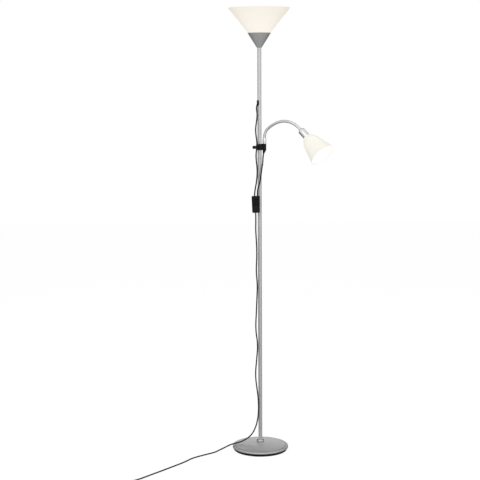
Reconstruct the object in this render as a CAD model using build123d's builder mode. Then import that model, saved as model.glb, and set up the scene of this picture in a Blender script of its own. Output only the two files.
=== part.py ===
from build123d import *
import os
from math import asin, atan2, ceil, cos, pi, radians, sin, sqrt, tan

os.makedirs("parts", exist_ok=True)

# Torchiere floor lamp with a reading light on a bendable neck. Millimetres.
# Origin: on the floor under the pole's axis. +Z is up, the reading light reaches towards +X
# and the observer of the front view stands at -Y.

# ---------------------------------------------------------------- clearances
slip = 0.1              # radial, between pieces pushed or screwed into one another
running = 0.05          # radial, where a pin or a screw turns in its hole
play = 0.3              # between faces of pieces that move past each other
through = 40.0          # length of a cut that only has to pass a wall

# ---------------------------------------------------------------- base
cover_radius = 115.0
tray_inset = 5.0        # the tray's wall stands this far inside the cover's edge
tray_height = 9.5
tray_floor = 3.0
tray_wall = 2.5
tray_edge = 1.5         # rounding of the black tray's lower edge
weight_inset = 9.0
weight_shoulder = 12.0  # height of the cast weight's upright rim
weight_boss_radius = 30.0
weight_boss_drop = 3.5
weight_boss_edge = (3.0, 1.6)
weight_slope_start = 8.0  # inside the cover's pressed ring
weight_gap = 3.0        # under the cover's shoulder
cover_wall = 1.2
cover_lip = 8.5         # height of the steel cover's free edge
cover_lip_set = 0.6     # the free edge stands this far inside the widest line
cover_bulge = 12.0      # height of its widest line
cover_shoulder_inset = 4.5
cover_shoulder = 17.6
cover_roll = (1.4, 1.6) # middle of the rolled shoulder, inwards and down
cover_ring_inset = 8.5
cover_ring_depth = 0.5
cover_top = 32.5
cover_flat_radius = 17.0
cover_dome_rise = 2.6   # rise of the dome over a straight cone
collar_radius = 15.0
collar_height = 9.5
collar_top_radius = 10.5
collar_foot = 1.5       # height of its upright foot
collar_curve = (1.0, 0.62)  # middle of its curve: inwards, and share of its height
tray_screw_radius = 2.0
tray_screw_head_radius = 3.4
tray_screw_head = 1.6
tray_sink_radius = 3.9
tray_screw_length = 11.0
tray_screw_circle = 75.0
tray_screws = 3
tray_screw_sunk = 0.3   # its head stands this far inside the tray's underside
pilot_spare = 1.0       # depth of a screw's hole past its tip

# ---------------------------------------------------------------- pole
pole_radius = 8.0
pole_wall = 1.0
pole_sections = 4
bush_length = 40.0
top_bush_length = 30.0
coupler_length = 60.0
coupler_bore = 4.0
coupler_rib = 0.4       # depth of the crimp grooves round a coupler
coupler_rib_width = 2.0
bush_chamfer = 0.5
stud_radius = 5.0
stud_bottom = 5.0
stud_short = 5.0        # it ends this far below the bush's upper end
stud_chamfer = 0.8
nut_chamfer = 0.5
nut_across_flats = 17.0
nut_height = 8.0
washer_radius = 15.0
washer_thickness = 2.0
nut_recess_radius = 17.0

# ---------------------------------------------------------------- upper light
rim_height = 1800.0
rim_radius = 124.5
shade_height = 97.0     # from the cup's edge to the rim
cup_height = 58.0
cup_radius = 46.5
cup_wall = 1.2
cup_foot_radius = 9.5
shade_wall = 2.0
seat_drop = 13.0        # the shade's flat collar stands this far below the cup's edge
nipple_radius = 5.0
nipple_bore = 3.4
nipple_up = 15.0        # length above the pole
nipple_down = 20.0      # length inside the pole
nipple_nut_flats = 14.0
nipple_nut_height = 4.0
holder_radius = 20.75
holder_foot_radius = 9.0
holder_foot = 2.6
holder_full = 23.0      # above the pole, where the holder reaches its full radius
holder_thread = 18.0    # length of its thread above the shade's collar
holder_flange_radius = 26.0
holder_flange = 2.5
holder_floor = 31.0     # above the pole
holder_seat = 6.0       # the bulb's cap stands this far above the floor
holder_chamber_radius = 12.0
holder_bore = 13.9
ring_height = 5.0
ring_radius = 27.0
bulb_cap_radius = 13.2
bulb_neck_radius = 14.5
bulb_radius = 30.0
bulb_length = 81.0      # of the glass
bulb_wall = 1.0
bulb_waist = 0.72       # the neck meets the ball at this share of its radius
bulb_pole = 0.001       # keeps the profile off the axis

# ---------------------------------------------------------------- reading light's clamp
clamp_drop = 393.5      # from the pole's top to the clamp's middle
clamp_length = 25.0
clamp_radius = 13.7
clamp_lip = 1.7
liner_wall = 1.1
liner_window = 12.0
liner_window_reach = 3.0
liner_window_azimuth = 150.0
boss_offset = 19.7      # from the pole's axis to the neck's axis
boss_radius = 7.5
nose_drop = 9.5         # tapered nose under the boss
nose_radius = 4.6
nose_shift = (-2.4, -1.5)
bush_drop = 3.5
bush_wall = 1.0
bush_step = 0.2         # the bush is this much narrower than the nose
knob_height = -1.5      # from the clamp's middle to the knob's axis
knob_boss_radius = 6.4
knob_boss_reach = 15.7
knob_radius = 6.2
knob_length = 12.3
knob_round = 3.0
knob_flutes = 8
knob_flute_radius = 1.1
knob_flute_out = 0.5    # the flutes' centres stand outside the knob
knob_flute_start = 1.5
knob_bore_share = 0.7   # of the knob's length
insert_radius = 4.0
insert_start = 11.4     # from the pole's axis; leaves room for the pad's travel
insert_length = 4.0
insert_lead = 1.0       # its hole starts this far inside the cavity's curved wall
screw_radius = 2.5
screw_chamfer = 0.4
screw_tip = 9.8         # distance of the screw's tip from the pole's axis
pad_radius = 3.0
grub_radius = 2.0
grub_key_radius = 1.1
grub_key_depth = 1.0
spigot_radius = 5.0
spigot_length = 17.0
spigot_spare = 1.0      # depth of its hole past its end
ferrule_radius = 7.4
ferrule_length = 23.7
ferrule_top_radius = 6.3
ferrule_taper = 6.0

# ---------------------------------------------------------------- neck
neck_radius = 5.5
neck_bore = 3.0
neck_azimuth = -38.0    # the arch's plane, from +X towards the observer
neck_piece = 43.5       # length of each piece along the arch
neck_turns = (53.0, 15.0, 21.0, 24.0, 20.0)
neck_tail = 4.0         # straight end held in the ferrule

# ---------------------------------------------------------------- reading head
cap_radius = 14.0
cap_wall = 1.0
cap_length = 40.0
cap_round = 8.0
head_nipple_radius = 3.9
head_nipple_bore = 2.6
head_nipple_in = 8.0    # length inside the neck
head_nipple_out = 9.0
head_nut_flats = 11.0
head_nut_height = 3.0
socket_radius = 12.7
socket_length = 48.0    # end of the threaded sleeve, from the cap's end
socket_full = 10.0
socket_seat = 25.0      # where the small bulb's cap stands
socket_bore = 7.4
socket_chamber = 3.0    # above the nipple's end
socket_foot_step = 1.0
cap_gap = 1.0           # between a lampholder's thread and the bulb's glass
head_ring_radius = 15.4
head_ring_height = 4.5
bell_wall = 2.5
bell_neck_radius = 16.5
bell_shoulder_radius = 37.0
bell_shoulder = 35.7    # from the bell's collar
bell_mouth_radius = 52.5
bell_length = 100.7
small_cap_radius = 7.0
small_neck_radius = 8.0
small_bulb_radius = 22.5
small_bulb_length = 55.5

# ---------------------------------------------------------------- in-line switch
switch_centre = (-15.7, -19.5)
switch_drop = 623.0     # from the pole's top to the switch's middle
switch_lean = 1.2       # degrees, top to the left
switch_length = 67.0
switch_top_width = 33.7
switch_foot_width = 30.6
switch_front = 12.0
switch_back = 10.0
switch_wall = 1.8
switch_corner = 4.0
switch_edge = 2.2
upper_entry = -4.4      # the three cord entries, across from the middle
reading_entry = 7.2
mains_entry = -1.5
entry_depth = 3.5
entry_run_top = 13.5    # straight run of a cord outside the case's top
entry_run_foot = 28.5
rocker_offset = 6.9
rocker_rise = 5.0       # the rockers' pivot above the switch's middle
rocker_fan = 5.0        # degrees
rocker_width = 9.6
rocker_length = 29.6
rocker_gap = 0.7
rocker_pivot = 8.2      # above the parting plane
rocker_end = 5.6        # top edge above the pivot
rocker_middle = 4.6
rocker_under = 2.2
rocker_tilt = 7.0
rocker_pin_radius = 1.0
rocker_pin_reach = 6.1  # to each side of the rocker's middle
rocker_window_corner = 1.2
rib_clear = 0.2         # the ribs overhang the rocker's window
rib_width = 3.0
rib_length = 6.0
rib_height = 4.0
case_screw_rows = (25.0, -20.0)
case_boss_radius = 3.0
case_screw_radius = 1.5
case_screw_head_radius = 2.5
case_screw_head = 1.6
case_screw_length = 14.0
contact_size = (5.0, 9.0, 3.0)
contact_rows = (20.0, 9.0)
contact_lower_row = -9.0
contact_spread = 8.2

# ---------------------------------------------------------------- cords
cord_radius = 2.75
lead_inside = 1.5       # length of the reading light's cord inside its bush
lead_run_out = 11.0     # its straight run below the bush
exit_drop = 217.5       # from the pole's top to where the upper cord leaves it
exit_reach = 13.4       # the cord's straight run ends this far from the pole's axis
exit_azimuth = 216.9
foot_bend_height = 98.0 # where the mains cord starts to leave the pole for the base's edge
exit_slope = 30.0       # degrees from the vertical
slot_width = 7.6
slot_height = 19.0
grommet_lip = 1.2
grommet_border = 1.6
grommet_neck = 0.6      # length inside the pole
coil_centre = (-550.0, -497.0)
coil_azimuth = 130.0    # turns the coil so that the cord runs straight in
coil_outer = 38.0       # radius of its outer half turn
coil_gap = 0.5
coil_half_turns = 4     # in each of the two layers
coil_approach = 46.0    # straight run of the floor cord into the coil
coil_leave = 22.0       # straight run over the turns below before the cord dips
plug_length = 36.0
plug_width = 26.0
plug_front_width = 22.0
plug_height = 13.7
plug_pin_radius = 2.0
plug_pin_length = 19.0
plug_pin_spread = 9.3
plug_pin_depth = 9.0
plug_pin_round = 0.8
plug_corner = 3.0
plug_neck = (0.5, 0.8)  # the plug's end at the relief, as shares of width and height
relief_length = 22.0
relief_radius = 4.2
relief_start = 1.0      # wall at the cord's end
relief_groove = 1.2
relief_groove_pitch = 3.0
relief_grooves = 6
relief_wall = 0.6       # left under the grooves
plug_bend_radius = 60.0

# ---------------------------------------------------------------- derived
tray_radius = cover_radius - tray_inset
weight_radius = cover_radius - weight_inset
cover_shoulder_radius = cover_radius - cover_shoulder_inset
cover_ring_radius = cover_radius - cover_ring_inset
junction_height = rim_height - shade_height
pole_top = junction_height - cup_height
shade_seat = junction_height - seat_drop
exit_height = pole_top - exit_drop
clamp_height = pole_top - clamp_drop
switch_height = pole_top - switch_drop
pole_bore = pole_radius - pole_wall
section_length = (pole_top - cover_top) / pole_sections
clamp_top = clamp_height + clamp_length / 2
clamp_foot = clamp_height - clamp_length / 2
liner_inner = pole_radius + slip
liner_outer = liner_inner + liner_wall
cavity = liner_outer + play
cord_bore = cord_radius + slip


def finish(piece, node):
    """Labels one finished piece and writes its file."""
    piece.part.label = node
    export_step(piece.part, f"parts/{node}.step")


def tube(points, radii, radius):
    """A round cord of straight runs and tangent arcs, and its length."""
    with BuildPart() as cord:
        with BuildLine() as route:
            FilletPolyline(*points, radius=radii)
        with BuildSketch(Plane(origin=route.line @ 0, z_dir=route.line % 0)):
            Circle(radius)
        sweep(path=route.line)
    return cord, route.wires()[0].length


def corner_radii(points):
    """Each corner's arc is as large as its two runs allow."""
    corners = [Vector(*p) for p in points]
    radii = []
    for before, here, after in zip(corners, corners[1:], corners[2:]):
        turn = (here - before).get_angle(after - here)
        run = min((here - before).length, (after - here).length)
        radii.append(0.45 * run / tan(radians(turn) / 2))
    return radii


def report_cord(name, cord, length, radii):
    section = pi * cord_radius ** 2
    print(name, "length", round(length, 1), "radii", [round(r) for r in radii],
          "volume over section times length", round(cord.part.volume / (section * length), 4))


# ================================================================ base
with BuildPart() as base_tray:
    with BuildSketch(Plane.XZ):
        with BuildLine():
            Polyline((0, 0), (tray_radius, 0), (tray_radius, tray_height),
                     (tray_radius - tray_wall, tray_height),
                     (tray_radius - tray_wall, tray_floor), (0, tray_floor), close=True)
        make_face()
    revolve(axis=Axis.Z)
    lower_edge = base_tray.edges().filter_by(GeomType.CIRCLE).group_by(Axis.Z)[0]
    fillet(lower_edge, tray_edge)
    with Locations(Location((0, 0, 0), (180, 0, 0))):
        with PolarLocations(tray_screw_circle, tray_screws):
            CounterSinkHole(tray_screw_radius + slip, tray_sink_radius, tray_floor)
finish(base_tray, "base_tray")

weight_top = cover_top - cover_wall
dome_middle = (cover_shoulder_radius + cover_flat_radius) / 2
dome_middle_height = (cover_shoulder + cover_top) / 2 + cover_dome_rise

with BuildPart() as base_cover:
    with BuildSketch(Plane.XZ):
        with BuildLine():
            Line((cover_radius - cover_lip_set, cover_lip), (cover_radius, cover_bulge))
            ThreePointArc((cover_radius, cover_bulge),
                          (cover_radius - cover_roll[0], cover_shoulder - cover_roll[1]),
                          (cover_shoulder_radius, cover_shoulder))
            ThreePointArc((cover_shoulder_radius, cover_shoulder),
                          (dome_middle, dome_middle_height), (cover_flat_radius, cover_top))
            Polyline((cover_flat_radius, cover_top), (stud_radius + slip, cover_top),
                     (stud_radius + slip, weight_top), (cover_flat_radius, weight_top))
            ThreePointArc((cover_flat_radius, weight_top),
                          (dome_middle, dome_middle_height - cover_wall),
                          (cover_shoulder_radius, cover_shoulder - cover_wall))
            ThreePointArc((cover_shoulder_radius, cover_shoulder - cover_wall),
                          (cover_radius - cover_roll[0] - cover_wall * sin(pi / 4),
                           cover_shoulder - cover_roll[1] - cover_wall * sin(pi / 4)),
                          (cover_radius - cover_wall, cover_bulge))
            Polyline((cover_radius - cover_wall, cover_bulge),
                     (cover_radius - cover_lip_set - cover_wall, cover_lip),
                     (cover_radius - cover_lip_set, cover_lip))
        make_face()
    revolve(axis=Axis.Z)
    with BuildSketch(Plane.XZ):
        with Locations((cover_ring_radius, cover_shoulder + cover_ring_depth + play)):
            Circle(cover_ring_depth)
    revolve(axis=Axis.Z, mode=Mode.SUBTRACT)
finish(base_cover, "base_cover")

with BuildPart() as base_weight:
    with BuildSketch(Plane.XZ):
        with BuildLine():
            Polyline((0, tray_floor), (weight_radius, tray_floor),
                     (weight_radius, weight_shoulder),
                     (cover_ring_radius - weight_slope_start, cover_shoulder - weight_gap),
                     (weight_boss_radius, weight_top - weight_boss_drop),
                     (cover_flat_radius, weight_top - weight_boss_edge[1]),
                     (cover_flat_radius - weight_boss_edge[0], weight_top),
                     (0, weight_top), close=True)
        make_face()
    revolve(axis=Axis.Z)
    with Locations((0, 0, weight_top)):
        Hole(stud_radius + slip)
    with BuildSketch(Plane.XY.offset(tray_floor)):
        Circle(nut_recess_radius)
    extrude(amount=nut_height + washer_thickness + stud_bottom, mode=Mode.SUBTRACT)
    with BuildSketch(Plane.XY.offset(tray_floor)):
        with PolarLocations(tray_screw_circle, tray_screws):
            Circle(tray_screw_radius + slip)
    extrude(amount=tray_screw_length - tray_floor + pilot_spare, mode=Mode.SUBTRACT)
finish(base_weight, "base_weight")

with BuildPart() as tray_screw_set:
    with PolarLocations(tray_screw_circle, tray_screws):
        with Locations((0, 0, tray_screw_length / 2 + tray_screw_sunk)):
            Cylinder(tray_screw_radius, tray_screw_length)
        with Locations((0, 0, tray_screw_head / 2 + tray_screw_sunk)):
            Cone(tray_screw_head_radius, tray_screw_radius, tray_screw_head)
finish(tray_screw_set, "tray_screws")

recess_top = tray_floor + nut_height + washer_thickness + stud_bottom
nut_bottom = recess_top - washer_thickness - nut_height
with BuildPart() as base_washer:
    with BuildSketch(Plane.XY.offset(recess_top - washer_thickness)):
        Circle(washer_radius)
        Circle(stud_radius + slip, mode=Mode.SUBTRACT)
    extrude(amount=washer_thickness)
finish(base_washer, "base_washer")


def hex_nut(plane, flats, height, bore):
    """A hexagon nut standing on a plane, with its corners turned off."""
    with BuildPart() as nut:
        with BuildSketch(plane):
            RegularPolygon(flats / 2, 6, major_radius=False)
            Circle(bore, mode=Mode.SUBTRACT)
        extrude(amount=height)
        with BuildSketch(plane):
            Circle(flats / 2 / cos(pi / 6) - nut_chamfer)
        extrude(amount=height, mode=Mode.INTERSECT)
    return nut


base_nut = hex_nut(Plane.XY.offset(nut_bottom), nut_across_flats, nut_height, stud_radius + slip)
finish(base_nut, "base_nut")

stud_top = cover_top + bush_length - stud_short
with BuildPart() as base_stud:
    with BuildSketch(Plane.XY.offset(stud_bottom)):
        Circle(stud_radius)
    extrude(amount=stud_top - stud_bottom)
    chamfer(base_stud.edges().filter_by(GeomType.CIRCLE), stud_chamfer)
finish(base_stud, "base_stud")

with BuildPart() as base_collar:
    with BuildSketch(Plane.XZ):
        with BuildLine():
            Line((pole_radius + slip, cover_top), (collar_radius, cover_top))
            Line((collar_radius, cover_top), (collar_radius, cover_top + collar_foot))
            ThreePointArc((collar_radius, cover_top + collar_foot),
                          (collar_radius - collar_curve[0],
                           cover_top + collar_height * collar_curve[1]),
                          (collar_top_radius, cover_top + collar_height))
            Polyline((collar_top_radius, cover_top + collar_height),
                     (pole_radius + slip, cover_top + collar_height),
                     (pole_radius + slip, cover_top))
        make_face()
    revolve(axis=Axis.Z)
finish(base_collar, "base_collar")


# ================================================================ pole
def threaded_bush(bottom, length, bore):
    """A bush pressed into the end of a pole section, with a lead-in chamfer."""
    with BuildPart() as bush:
        with BuildSketch(Plane.XY.offset(bottom)):
            Circle(pole_bore - slip)
            Circle(bore, mode=Mode.SUBTRACT)
        extrude(amount=length)
        chamfer(bush.edges().filter_by(GeomType.CIRCLE).group_by(SortBy.RADIUS)[-1],
                bush_chamfer)
    return bush


finish(threaded_bush(cover_top, bush_length, stud_radius + slip), "pole_foot_bush")
finish(threaded_bush(pole_top - top_bush_length, top_bush_length, nipple_radius + slip),
       "pole_top_bush")

exit_direction = Vector(cos(radians(exit_azimuth)), sin(radians(exit_azimuth)), 0)
exit_plane = Plane(origin=(0, 0, exit_height), x_dir=(0, 0, 1), z_dir=exit_direction)
wall_middle = pole_radius - pole_wall / 2


def on_exit(reach):
    """A point of the upper cord's slanted way out of the pole, by its distance from the axis."""
    drop = (reach - wall_middle) / tan(radians(exit_slope))
    return exit_direction * reach + Vector(0, 0, exit_height - drop)


for number in range(pole_sections):
    bottom = cover_top + number * section_length
    with BuildPart() as pole_section:
        with BuildSketch(Plane.XY.offset(bottom)):
            Circle(pole_radius)
            Circle(pole_bore, mode=Mode.SUBTRACT)
        extrude(amount=section_length)
        if bottom < exit_height < bottom + section_length:
            with BuildSketch(exit_plane):
                SlotOverall(slot_height, slot_width)
            extrude(amount=through, mode=Mode.SUBTRACT)
    finish(pole_section, f"pole_section_{number + 1}")

seams = [cover_top + number * section_length for number in range(1, pole_sections)]
with BuildPart() as pole_couplers:
    for seam in seams:
        with BuildSketch(Plane.XY.offset(seam - coupler_length / 2)):
            Circle(pole_bore - slip)
            Circle(coupler_bore, mode=Mode.SUBTRACT)
        extrude(amount=coupler_length)
        for side in (-1, 1):
            groove = seam + side * coupler_length / 4 - coupler_rib_width / 2
            with BuildSketch(Plane.XY.offset(groove)):
                Circle(pole_bore)
                Circle(pole_bore - slip - coupler_rib, mode=Mode.SUBTRACT)
            extrude(amount=coupler_rib_width, mode=Mode.SUBTRACT)
finish(pole_couplers, "pole_couplers")

exit_line = (on_exit(exit_reach) - on_exit(0)).normalized()
with BuildPart() as cord_grommet:
    with BuildSketch(exit_plane):
        SlotOverall(slot_height + 2 * grommet_border, slot_width + 2 * grommet_border)
    extrude(amount=pole_radius + grommet_lip)
    with BuildSketch(Plane.XY.offset(exit_height - slot_height)):
        Circle(pole_radius + slip)
    extrude(amount=2 * slot_height, mode=Mode.SUBTRACT)
    with BuildSketch(exit_plane.offset(pole_bore - grommet_neck)):
        SlotOverall(slot_height - 2 * slip, slot_width - 2 * slip)
    extrude(amount=pole_wall + grommet_neck + grommet_lip / 2)
    with BuildSketch(Plane(origin=on_exit(0), z_dir=exit_line)):
        Circle(cord_bore)
    extrude(amount=through, mode=Mode.SUBTRACT)
finish(cord_grommet, "cord_grommet")

# ================================================================ upper light
with BuildPart() as top_nipple:
    with BuildSketch(Plane.XY.offset(pole_top - nipple_down)):
        Circle(nipple_radius)
        Circle(nipple_bore, mode=Mode.SUBTRACT)
    extrude(amount=nipple_down + nipple_up)
finish(top_nipple, "top_nipple")

nipple_nut_bottom = pole_top + cup_wall
finish(hex_nut(Plane.XY.offset(nipple_nut_bottom), nipple_nut_flats, nipple_nut_height,
               nipple_radius + slip), "top_nipple_nut")

with BuildPart() as top_cup:
    with BuildSketch(Plane.XZ):
        with BuildLine():
            Polyline((cup_radius, junction_height), (cup_foot_radius, pole_top),
                     (nipple_radius + slip, pole_top))
            offset(amount=cup_wall, side=Side.RIGHT)
        make_face()
    revolve(axis=Axis.Z)
finish(top_cup, "top_cup")

holder_bottom = nipple_nut_bottom + nipple_nut_height
holder_shoulder = pole_top + holder_full
lead_chamber = pole_top + holder_floor
bulb_seat = lead_chamber + holder_seat
holder_top = shade_seat + holder_thread
nipple_end = pole_top + nipple_up
with BuildPart() as top_lampholder:
    with BuildSketch(Plane.XZ):
        with BuildLine():
            Polyline((nipple_radius + slip, holder_bottom), (holder_foot_radius, holder_bottom),
                     (holder_foot_radius, holder_bottom + holder_foot),
                     (holder_radius, holder_shoulder), (holder_radius, shade_seat - holder_flange),
                     (holder_flange_radius, shade_seat - holder_flange),
                     (holder_flange_radius, shade_seat), (holder_radius, shade_seat),
                     (holder_radius, holder_top), (holder_bore, holder_top),
                     (holder_bore, bulb_seat), (0, bulb_seat), (0, lead_chamber),
                     (holder_chamber_radius, lead_chamber), (holder_chamber_radius, nipple_end),
                     (nipple_radius + slip, nipple_end), close=True)
        make_face()
    revolve(axis=Axis.Z)
finish(top_lampholder, "top_lampholder")

# The shade passes the cup's inner edge at a small distance on its way down to its seat.
cup_tilt = atan2(cup_radius - cup_foot_radius, cup_height)
pass_radius = cup_radius - cup_wall * cos(cup_tilt) - play
pass_height = junction_height + cup_wall * sin(cup_tilt)
shade_slope = (rim_radius - pass_radius) / (rim_height - pass_height)
shade_foot_radius = rim_radius - shade_slope * (rim_height - shade_seat)
with BuildPart() as top_shade:
    with BuildSketch(Plane.XZ):
        with BuildLine():
            Polyline((rim_radius, rim_height), (shade_foot_radius, shade_seat),
                     (holder_radius + slip, shade_seat))
            offset(amount=shade_wall, side=Side.RIGHT)
        make_face()
    revolve(axis=Axis.Z)
finish(top_shade, "top_shade")


def threaded_ring(plane, axis, inner, outer, bottom, height):
    """A shade ring: a flat flange with a narrower collar on it."""
    collar = (inner + outer) / 2
    with BuildPart() as ring:
        with BuildSketch(plane):
            with BuildLine():
                Polyline((inner, bottom), (outer, bottom), (outer, bottom + height / 2),
                         (collar, bottom + height / 2), (collar, bottom + height),
                         (inner, bottom + height), close=True)
            make_face()
        revolve(axis=axis)
    return ring


finish(threaded_ring(Plane.XZ, Axis.Z, holder_radius + slip, ring_radius,
                     shade_seat + shade_wall, ring_height), "top_shade_ring")


def bulb_cap(plane, axis, radius, seat, end):
    """A bulb's screw cap: contact button, insulator cone and shell."""
    button, rim, rise, cone = radius * 0.35, radius * 0.4, radius * 0.12, radius * 0.5
    with BuildPart() as cap:
        with BuildSketch(plane):
            with BuildLine():
                Polyline((0, seat), (button, seat), (rim, seat + rise), (radius, seat + cone),
                         (radius, end), (0, end), close=True)
            make_face()
        revolve(axis=axis)
    return cap


def bulb_glass(plane, axis, neck, radius, start, length):
    """A pear-shaped glass shell, open at its neck."""
    tip = start + length
    centre = tip - radius
    inner = radius - bulb_wall
    meet = (radius * sqrt(1 - bulb_waist ** 2), centre - radius * bulb_waist)
    inner_meet = (inner * sqrt(1 - bulb_waist ** 2), centre - inner * bulb_waist)
    with BuildPart() as glass:
        with BuildSketch(plane):
            with BuildLine():
                Line((neck, start), meet)
                ThreePointArc(meet, (radius, centre), (bulb_pole, tip))
                Line((bulb_pole, tip), (bulb_pole, tip - bulb_wall))
                ThreePointArc((bulb_pole, tip - bulb_wall), (inner, centre), inner_meet)
                Polyline(inner_meet, (neck - bulb_wall, start), (neck, start))
            make_face()
        revolve(axis=axis)
    return glass


bulb_cap_top = holder_top + cap_gap
finish(bulb_cap(Plane.XZ, Axis.Z, bulb_cap_radius, bulb_seat, bulb_cap_top), "top_bulb_cap")
finish(bulb_glass(Plane.XZ, Axis.Z, bulb_neck_radius, bulb_radius, bulb_cap_top, bulb_length),
       "top_bulb_glass")

# The lead inside the pole: down from the lampholder, then slanting into the grommet.
corner = on_exit(0)
lead_end = on_exit(wall_middle)
lead_run = (lead_end - corner).length
lead_radius = 0.45 * lead_run / tan(radians(exit_slope / 2))
pole_lead, lead_length = tube(
    [(0, 0, lead_chamber), tuple(corner), tuple(lead_end)], [lead_radius], cord_radius)
report_cord("pole_lead", pole_lead, lead_length, [lead_radius])
finish(pole_lead, "pole_lead")

# ================================================================ clamp on the pole
liner_length = clamp_length - 2 * clamp_lip - 2 * play
screw_height = clamp_height + knob_height
with BuildPart() as clamp_liner:
    with BuildSketch(Plane.XY.offset(clamp_height - liner_length / 2)):
        Circle(liner_outer)
        Circle(liner_inner, mode=Mode.SUBTRACT)
    extrude(amount=liner_length)
    # The window leaves the screw's pad free to press on the pole as the clamp turns.
    window_turn = radians(liner_window_azimuth)
    window_way = Plane(origin=(0, 0, screw_height), x_dir=(cos(window_turn), sin(window_turn), 0),
                       z_dir=(0, 0, 1))
    with BuildSketch(window_way.offset(-liner_window / 2)):
        with Locations((liner_window_reach + clamp_radius / 2, 0)):
            Rectangle(clamp_radius, 2 * clamp_radius)
    extrude(amount=liner_window, mode=Mode.SUBTRACT)
finish(clamp_liner, "clamp_liner")

nose_centre = (boss_offset + nose_shift[0], nose_shift[1])
nose_foot = clamp_foot - nose_drop
knob_plane = Plane(origin=(0, 0, screw_height), x_dir=(0, 1, 0), z_dir=(-1, 0, 0))
with BuildPart() as clamp_body:
    with BuildSketch(Plane.XY.offset(clamp_foot)):
        Circle(clamp_radius)
        with Locations((boss_offset, 0)):
            Circle(boss_radius)
        with Locations((boss_offset / 2, 0)):
            Rectangle(boss_offset, boss_radius * 1.5)
    extrude(amount=clamp_length)
    chamfer(clamp_body.edges().group_by(Axis.Z)[-1], 0.8)
    with BuildSketch(knob_plane):
        Circle(knob_boss_radius)
    extrude(amount=knob_boss_reach)
    with BuildSketch(Plane.XY.offset(clamp_foot)):
        with Locations((boss_offset, 0)):
            Circle(boss_radius)
    with BuildSketch(Plane.XY.offset(nose_foot)):
        with Locations(nose_centre):
            Circle(nose_radius)
    loft()
    with BuildSketch(Plane.XY.offset(nose_foot)):
        Circle(pole_radius + slip + play)
    extrude(amount=nose_drop + clamp_length, mode=Mode.SUBTRACT)
    with BuildSketch(Plane.XY.offset(clamp_foot + clamp_lip)):
        Circle(cavity)
    extrude(amount=clamp_length - 2 * clamp_lip, mode=Mode.SUBTRACT)
    with BuildSketch(knob_plane.offset(cavity - insert_lead)):
        Circle(insert_radius + slip)
    extrude(amount=knob_boss_reach, mode=Mode.SUBTRACT)
    spigot_floor = clamp_top - spigot_length - spigot_spare
    with BuildSketch(Plane.XY.offset(spigot_floor)):
        with Locations((boss_offset, 0)):
            Circle(spigot_radius + running)
    extrude(amount=spigot_length + spigot_spare, mode=Mode.SUBTRACT)
    with BuildSketch(Plane.XY.offset(spigot_floor)):
        with Locations((boss_offset, 0)):
            Circle(cord_bore)
    with BuildSketch(Plane.XY.offset(nose_foot)):
        with Locations(nose_centre):
            Circle(cord_bore)
    loft(mode=Mode.SUBTRACT)
    with BuildSketch(Plane.YZ.offset(boss_offset + spigot_radius - 1)):
        with Locations((0, clamp_height)):
            Circle(grub_radius + slip)
    extrude(amount=boss_radius, mode=Mode.SUBTRACT)
finish(clamp_body, "clamp_body")

with BuildPart() as clamp_grub_screw:
    with BuildSketch(Plane.YZ.offset(boss_offset + spigot_radius + play)):
        with Locations((0, clamp_height)):
            Circle(grub_radius)
    extrude(amount=boss_radius - spigot_radius - 2 * play)
    with BuildSketch(Plane.YZ.offset(boss_offset + boss_radius - play)):
        with Locations((0, clamp_height)):
            RegularPolygon(grub_key_radius, 6)
    extrude(amount=-grub_key_depth, mode=Mode.SUBTRACT)
finish(clamp_grub_screw, "clamp_grub_screw")

with BuildPart() as clamp_insert:
    with BuildSketch(knob_plane.offset(insert_start)):
        Circle(insert_radius)
        Circle(screw_radius + running, mode=Mode.SUBTRACT)
    extrude(amount=insert_length)
finish(clamp_insert, "clamp_insert")

with BuildPart() as clamp_pad:
    with BuildSketch(knob_plane.offset(liner_inner)):
        Circle(pad_radius)
    extrude(amount=screw_tip - liner_inner)
finish(clamp_pad, "clamp_pad")

knob_start = knob_boss_reach + play
with BuildPart() as clamp_screw:
    with BuildSketch(knob_plane.offset(screw_tip)):
        Circle(screw_radius)
    extrude(amount=knob_start - screw_tip + knob_length * knob_bore_share)
    chamfer(clamp_screw.faces().sort_by(Axis.X)[-1].edges(), screw_chamfer)
finish(clamp_screw, "clamp_screw")

with BuildPart() as clamp_knob:
    with BuildSketch(knob_plane.offset(knob_start)):
        Circle(knob_radius)
    extrude(amount=knob_length)
    fillet(clamp_knob.faces().sort_by(Axis.X)[0].edges(), knob_round)
    with BuildSketch(knob_plane.offset(knob_start + knob_flute_start)):
        with PolarLocations(knob_radius + knob_flute_out, knob_flutes):
            Circle(knob_flute_radius)
    extrude(amount=knob_length, mode=Mode.SUBTRACT)
    with BuildSketch(knob_plane.offset(knob_start)):
        Circle(screw_radius + slip)
    extrude(amount=knob_length * knob_bore_share, mode=Mode.SUBTRACT)
finish(clamp_knob, "clamp_knob")

bush_centre = Vector(nose_centre[0], nose_centre[1], nose_foot)
nose_line = (bush_centre - Vector(boss_offset, 0, clamp_foot)).normalized()
bush_foot = nose_foot - bush_drop
lead_start = bush_centre + nose_line * (bush_drop / -nose_line.Z)
with BuildPart() as lead_bush:
    with BuildSketch(Plane.XY.offset(nose_foot)):
        with Locations(nose_centre):
            Circle(nose_radius - bush_step)
    with BuildSketch(Plane.XY.offset(bush_foot)):
        with Locations((lead_start.X, lead_start.Y)):
            Circle(cord_bore + bush_wall)
    loft()
    with BuildSketch(Plane(origin=bush_centre - nose_line * bush_drop, z_dir=nose_line)):
        Circle(cord_bore)
    extrude(amount=through, mode=Mode.SUBTRACT)
finish(lead_bush, "lead_bush")

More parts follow.
